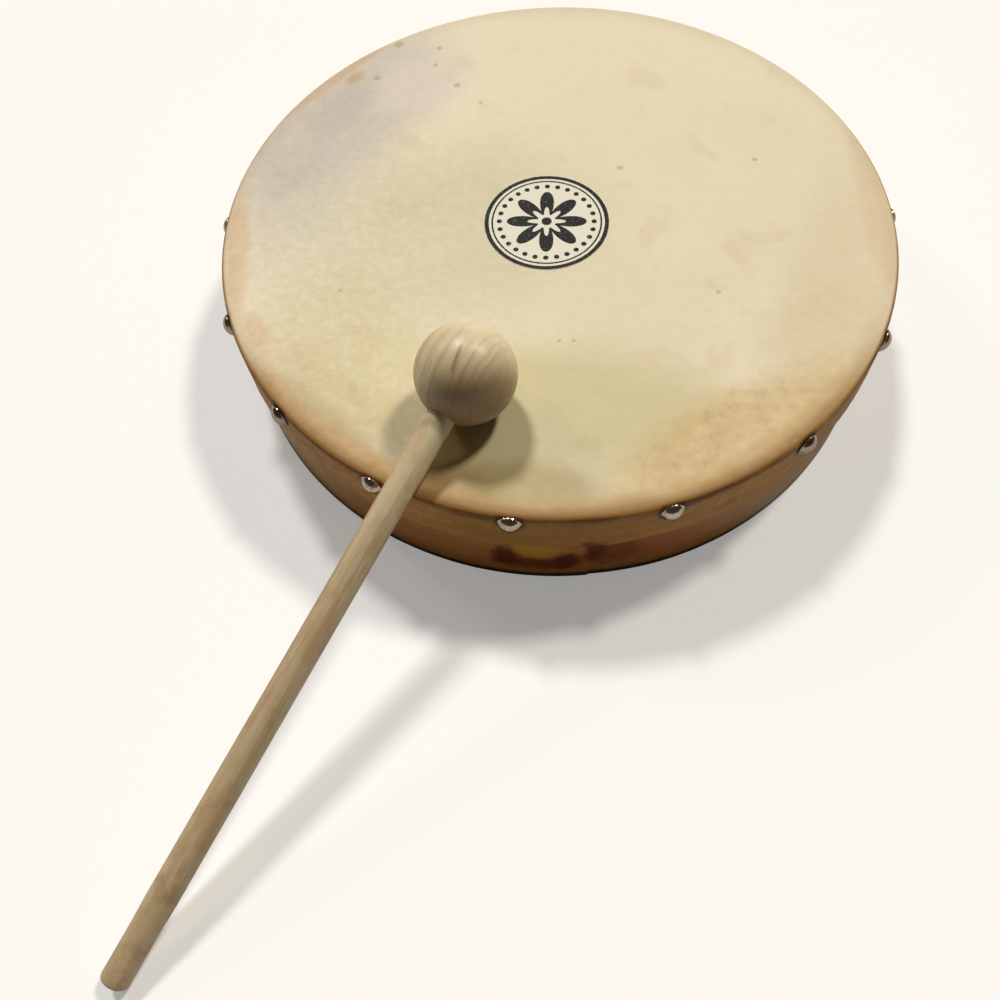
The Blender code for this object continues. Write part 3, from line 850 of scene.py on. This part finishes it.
def hoop_shape(radius, height, azimuth):
    """The bent strip: its scarf ends stand a little proud, its faces are slightly uneven and its foot
    is worn."""
    outside = smooth(HOOP_RADIUS - 0.003, HOOP_RADIUS - 0.001, radius)
    after_outer = (azimuth - SEAM_OUTER) % 360.0
    before_inner = (SEAM_INNER - azimuth) % 360.0
    outer_step = SCARF_STEP * max(0.0, 1 - after_outer / SCARF_SPAN) * outside
    inner_step = SCARF_STEP * max(0.0, 1 - before_inner / SCARF_SPAN) * (1 - outside)
    uneven = HOOP_UNEVEN * around(azimuth, 7, height * 40) * (1 if outside > 0.5 else -1)
    worn = FOOT_WEAR * smooth(TABLE + 0.004, TABLE, height) * abs(around(azimuth, 30, 5.0))
    return radius - outer_step + inner_step + uneven, height + worn


def hoop_azimuths():
    """Even azimuths with close pairs at the two seams."""
    offsets = (-0.06, -0.01, 0.01, 0.06)
    close = [seam % 360.0 + offset for seam in (SEAM_OUTER, SEAM_INNER) for offset in offsets]
    return sorted(set(even_azimuths(HOOP_SIDES) + close))


def make_hoop():
    """The bent wooden frame, with countersunk holes for the crossbar's screws."""
    outer = HOOP_RADIUS
    inner = outer - HOOP_THICKNESS
    top_round = EDGE_RADIUS - SKIN_THICKNESS - GAP
    foot_round = 0.0012
    bevel_width = 0.0030
    bevel_height = 0.0032
    profile = arc((outer - top_round, HOOP_TOP - top_round), top_round, 90, 0, 4)
    profile += run(profile[-1], (outer, TABLE + foot_round), 22)
    profile += arc((outer - foot_round, TABLE + foot_round), foot_round, 0, -90, 4)[1:]
    profile += run(profile[-1], (inner + foot_round, TABLE), 4)
    profile += arc((inner + foot_round, TABLE + foot_round), foot_round, -90, -180, 4)[1:]
    profile += run(profile[-1], (inner, HOOP_TOP - bevel_height), 20)
    profile += run(profile[-1], (inner + bevel_width, HOOP_TOP), 3)
    mesh = turned_mesh("bent_hoop", profile, hoop_azimuths(), hoop_shape, closed=True)
    hoop = add_object("bent_hoop", mesh)
    cut_with(hoop, [screw_hole(side) for side in (1, -1)])
    finish_piece(hoop, hoop_wood(), "drum", "hoop")


def screw_frame(side):
    """The frame of a crossbar screw's head; side is 1 on +X and -1 on -X."""
    return facing(90.0 * side, HOOP_RADIUS - SCREW_SINK, BAR_MIDDLE)


def screw_hole(side):
    """A countersunk hole's cutter."""
    clearance = 0.0002
    above = 0.002
    head = SCREW_HEAD_RADIUS + clearance
    shank = SCREW_SHANK_RADIUS + clearance
    profile = [(0.0, above), (head, above), (head, 0.0)]
    profile += [(shank, -SCREW_HEAD_HEIGHT), (shank, -SCREW_HOLE_DEPTH), (0.0, -SCREW_HOLE_DEPTH)]
    mesh = turned_mesh("screw_hole", profile, even_azimuths(SMALL_SIDES))
    return add_object("screw_hole", mesh, screw_frame(side))


def slot_cutter(side):
    """The cutter of a screw's driving slot: a block longer than the head, half of it above."""
    turned = screw_frame(side) @ Matrix.Rotation(math.radians(27.0 * side), 4, "Z")
    block = bmesh.new()
    bmesh.ops.create_cube(block, size=1.0, matrix=Matrix.Diagonal((*SLOT_BLOCK, 1.0)))
    mesh = bpy.data.meshes.new("slot")
    block.to_mesh(mesh)
    block.free()
    return add_object("slot", mesh, turned)


def make_screws():
    """The crossbar's two slotted screws."""
    steel = metal("screw_steel", (0.50, 0.50, 0.51), (0.28, 0.26, 0.24), 0.28, 0.45, 300.0)
    head = SCREW_HEAD_RADIUS
    profile = [(0.0, 0.0), (head - 0.0003, 0.0), (head, -0.0002)]
    profile += [(SCREW_SHANK_RADIUS, -SCREW_HEAD_HEIGHT), (SCREW_SHANK_RADIUS, 0.005 - SCREW_LENGTH)]
    profile += [(0.0, -SCREW_LENGTH)]
    for node, side in (("crossbar_screw_right", 1), ("crossbar_screw_left", -1)):
        name = f"slotted_{node}"
        mesh = turned_mesh(name, profile, even_azimuths(SMALL_SIDES))
        screw = add_object(name, mesh, screw_frame(side))
        cut_with(screw, [slot_cutter(side)])
        finish_piece(screw, steel, "drum", node, 35.0)


def bar_section():
    """The crossbar's rounded section: points (across, up) from its middle."""
    corner = 0.0036
    half = ((bar_high.y - bar_low.y) / 2 - corner, (bar_high.z - bar_low.z) / 2 - corner)
    points = []
    for quarter, (side, rise) in enumerate(((1, 1), (-1, 1), (-1, -1), (1, -1))):
        centre = (side * half[0], rise * half[1])
        points += arc(centre, corner, 90 * quarter, 90 * quarter + 90, 7)
    return points


def make_crossbar():
    """The hand bar, its ends coped to the hoop and its middle worn a little thinner."""
    section = bar_section()
    clearance = 0.0001
    reach = HOOP_RADIUS - HOOP_THICKNESS - clearance
    wear = 0.05
    roughness = 0.005
    stations = 72
    bar = bmesh.new()
    loops = []
    for station in range(stations + 1):
        share = 2 * station / stations - 1
        palm = 1 - wear * (1 - smooth(0.25, 0.7, abs(share)))
        loop = []
        for across, up in section:
            end = math.sqrt(reach**2 - across**2)
            uneven = 1 + roughness * ripple(share * 6, across * 120, up * 120)
            loop.append(bar.verts.new((share * end, across * palm * uneven, BAR_MIDDLE + up * palm)))
        loops.append(loop)
    for before, after in zip(loops, loops[1:]):
        for k in range(len(section)):
            n = (k + 1) % len(section)
            bar.faces.new((before[k], before[n], after[n], after[k]))
    bar.faces.new(list(reversed(loops[0])))
    bar.faces.new(loops[-1])
    bmesh.ops.recalc_face_normals(bar, faces=bar.faces)
    mesh = bpy.data.meshes.new("hand_bar")
    bar.to_mesh(mesh)
    bar.free()
    mesh.shade_smooth()
    finish_piece(add_object("hand_bar", mesh), bar_wood(), "drum", "crossbar")


def tack_profile():
    """A domed tack's outline, its head just clear of the skin, its shank down -Z."""
    base = TACK_HEAD_RADIUS
    height = TACK_HEAD_HEIGHT
    ball = (base**2 + height**2) / (2 * height)
    brim = math.degrees(math.asin(base / ball))
    lip = 0.0003
    profile = [(0.0, lip + height)]
    profile += arc((0.0, lip + height - ball), ball, 90, 94 - brim, 14)[1:]
    profile += [(base, lip + 0.0002), (base, lip * 0.6), (base - 0.0002, lip * 0.4)]
    profile += [(TACK_SHANK_RADIUS + 0.0002, lip * 0.4), (TACK_SHANK_RADIUS, -0.0005)]
    profile += [(TACK_SHANK_RADIUS, 0.0019 - TACK_LENGTH), (0.0, -TACK_LENGTH)]
    return profile


def make_tacks():
    """The domed nickel tacks, each set by hand at a slightly different tilt."""
    nickel = metal("nickel", (0.55, 0.46, 0.39), (0.25, 0.19, 0.15), 0.12, 0.26, 260.0)
    profile = tack_profile()
    most = math.radians(3.0)
    for k, (node, azimuth, height) in enumerate(TACKS):
        tilt = Matrix.Rotation(most * ripple(k * 1.7, 0.4), 4, "X")
        lean = Matrix.Rotation(most * ripple(k * 2.3, 5.1), 4, "Y")
        place = facing(azimuth, HEAD_RADIUS, height) @ tilt @ lean
        name = f"domed_{node}"
        tack = add_object(name, turned_mesh(name, profile, even_azimuths(SMALL_SIDES)), place)
        finish_piece(tack, nickel, "drum", node)


def make_print():
    """The printed roundel, which follows the skin's small rises."""
    centre = Vector((*PRINT_CENTRE, 0.0))
    profile = [(0.0, PRINT_THICKNESS)]
    profile += run(profile[-1], (PRINT_RADIUS, PRINT_THICKNESS), 10)
    profile += [(PRINT_RADIUS + PRINT_LIFT, 0.0), (0.0, 0.0)]

    def follow(radius, height, azimuth):
        at = radial(azimuth, radius, 0.0) + centre
        return radius, height + head_relief(math.hypot(at.x, at.y), azimuth_of(at)) + PRINT_LIFT

    mesh = turned_mesh("printed_roundel", profile, even_azimuths(PRINT_SIDES), follow)
    roundel = add_object("printed_roundel", mesh, Matrix.Translation(centre))
    finish_piece(roundel, print_ink(), "drum")


def make_ball():
    """The turned ball, with the stick's socket and a slight chamfer at its mouth."""
    mouth = math.sqrt(BALL_RADIUS**2 - SOCKET_RADIUS**2)
    chamfer = 0.0004
    profile = [(0.0, SOCKET_FLOOR), (SOCKET_RADIUS, SOCKET_FLOOR)]
    profile += run(profile[-1], (SOCKET_RADIUS, mouth - chamfer), 4)
    start = math.degrees(math.acos((SOCKET_RADIUS + chamfer) / BALL_RADIUS))
    profile += arc((0.0, 0.0), BALL_RADIUS, start, -90, 90)
    profile[-1] = (0.0, -BALL_RADIUS)

    def tooled(radius, height, azimuth):
        return radius * (1 + 0.003 * around(azimuth, 1.6, height * 90)), height

    mesh = turned_mesh("turned_ball", profile, even_azimuths(BALL_SIDES), tooled)
    ball = add_object("turned_ball", mesh, BEATER)
    finish_piece(ball, ball_wood(), "beater", "beater_ball")


def make_stick():
    """The dowel, sanded a little thinner towards its rounded far end."""
    rounding = 0.0016
    thinning = 0.045
    start = SOCKET_FLOOR + 0.0004
    profile = [(0.0, STICK_REACH)]
    profile += run(profile[-1], (STICK_RADIUS - rounding, STICK_REACH), 3)
    profile += arc((STICK_RADIUS - rounding, STICK_REACH - rounding), rounding, 90, 0, 8)[1:]
    profile += run(profile[-1], (STICK_RADIUS, start), 110)
    profile += [(0.0, start)]

    def sanded(radius, height, azimuth):
        thin = thinning * smooth(STICK_REACH - 0.032, STICK_REACH - 0.020, height)
        return radius * (1 - thin + 0.006 * around(azimuth, 1.0, height * 22)), height

    mesh = turned_mesh("dowel_stick", profile, even_azimuths(SMALL_SIDES), sanded)
    stick = add_object("dowel_stick", mesh, BEATER)
    finish_piece(stick, stick_wood(), "beater", "beater_stick", 60.0)


# ---------------------------------------------------------------- stage


def make_camera():
    """A close perspective view, as a hand-held camera has it."""
    elevation = math.radians(CAMERA_ELEVATION)
    eye = Vector((0.0, -math.cos(elevation), math.sin(elevation))) * CAMERA_DISTANCE
    ahead = -eye.normalized()
    right = Vector((1.0, 0.0, 0.0))
    up = right.cross(ahead)
    turned = Matrix.Rotation(math.radians(-CAMERA_PAN), 3, up)
    ahead = turned @ ahead
    right = turned @ right
    tilted = Matrix.Rotation(math.radians(CAMERA_TILT), 3, right)
    ahead = tilted @ ahead
    up = tilted @ up
    turn = Matrix((right, up, -ahead)).transposed().to_4x4()
    lens = bpy.data.cameras.new("camera")
    lens.lens = CAMERA_LENS
    lens.sensor_width = CAMERA_SENSOR
    lens.clip_start = CAMERA_NEAREST
    camera = bpy.data.objects.new("camera", lens)
    bpy.context.scene.collection.objects.link(camera)
    camera.matrix_world = Matrix.Translation(eye) @ turn
    bpy.context.scene.camera = camera


def make_lamp(name, azimuth, elevation, share, tint):
    """A soft far lamp. share is the part of full light that it gives a flat white surface."""
    rise = math.radians(elevation)
    data = bpy.data.lights.new(name, "SUN")
    data.color = tint
    data.angle = math.radians(LAMP_SPREAD)
    data.energy = share * math.pi / math.sin(rise)
    lamp = bpy.data.objects.new(name, data)
    bpy.context.scene.collection.objects.link(lamp)
    place = radial(azimuth, math.cos(rise), math.sin(rise))
    aim = (-place).to_track_quat("-Z", "Y").to_matrix().to_4x4()
    lamp.matrix_world = Matrix.Translation(place) @ aim


def make_floor():
    """The pale floor that the drum stands on. Part of its brightness lights nothing else, so that the
    drum's underside stays dark over a floor that looks nearly white."""
    s = Shader("floor")
    grain = s.noise(s.place, 400.0, 3.0)
    seen = s.add("ShaderNodeLightPath").outputs["Is Camera Ray"]
    s.feed(s.surface.inputs["Emission Strength"], seen)
    glow = {"Emission Color": (FLOOR_GLOW, FLOOR_GLOW, FLOOR_GLOW, 1.0)}
    material = s.finish((FLOOR_SHADE,) * 3, 0.9, s.bump(grain, 0.00002), glow)
    disc = bmesh.new()
    bmesh.ops.create_circle(disc, cap_ends=True, segments=96, radius=FLOOR_RADIUS)
    mesh = bpy.data.meshes.new("floor")
    disc.to_mesh(mesh)
    disc.free()
    mesh.materials.append(material)
    add_object("floor", mesh, Matrix.Translation((0.0, 0.0, TABLE)))


def make_surround():
    """A dim amber surround, so that the side away from the lamps stays dark. The camera sees it pale."""
    world = bpy.data.worlds.new("surround")
    world.use_nodes = True
    bpy.context.scene.world = world
    nodes = world.node_tree.nodes
    nodes.remove(nodes["Background"])
    links = world.node_tree.links
    seen = nodes.new("ShaderNodeLightPath").outputs["Is Camera Ray"]
    both = nodes.new("ShaderNodeMixShader")
    links.new(seen, both.inputs["Fac"])
    for place, (colour, strength) in enumerate((SURROUND, BACKDROP), start=1):
        background = nodes.new("ShaderNodeBackground")
        background.inputs["Color"].default_value = (*colour, 1.0)
        background.inputs["Strength"].default_value = strength
        links.new(background.outputs[0], both.inputs[place])
    links.new(both.outputs[0], nodes["World Output"].inputs["Surface"])


make_camera()
make_floor()
make_surround()
make_lamp("lamp_right", 134.0, 53.0, 0.43, WARM)
make_lamp("lamp_left", -158.0, 53.0, 0.44, COOL)
make_lamp("lamp_low_left", -128.0, 34.0, 0.055, AMBER)
bpy.context.scene.view_settings.view_transform = "Standard"

make_hoop()
make_skin()
make_crossbar()
make_screws()
make_tacks()
make_print()
make_ball()
make_stick()
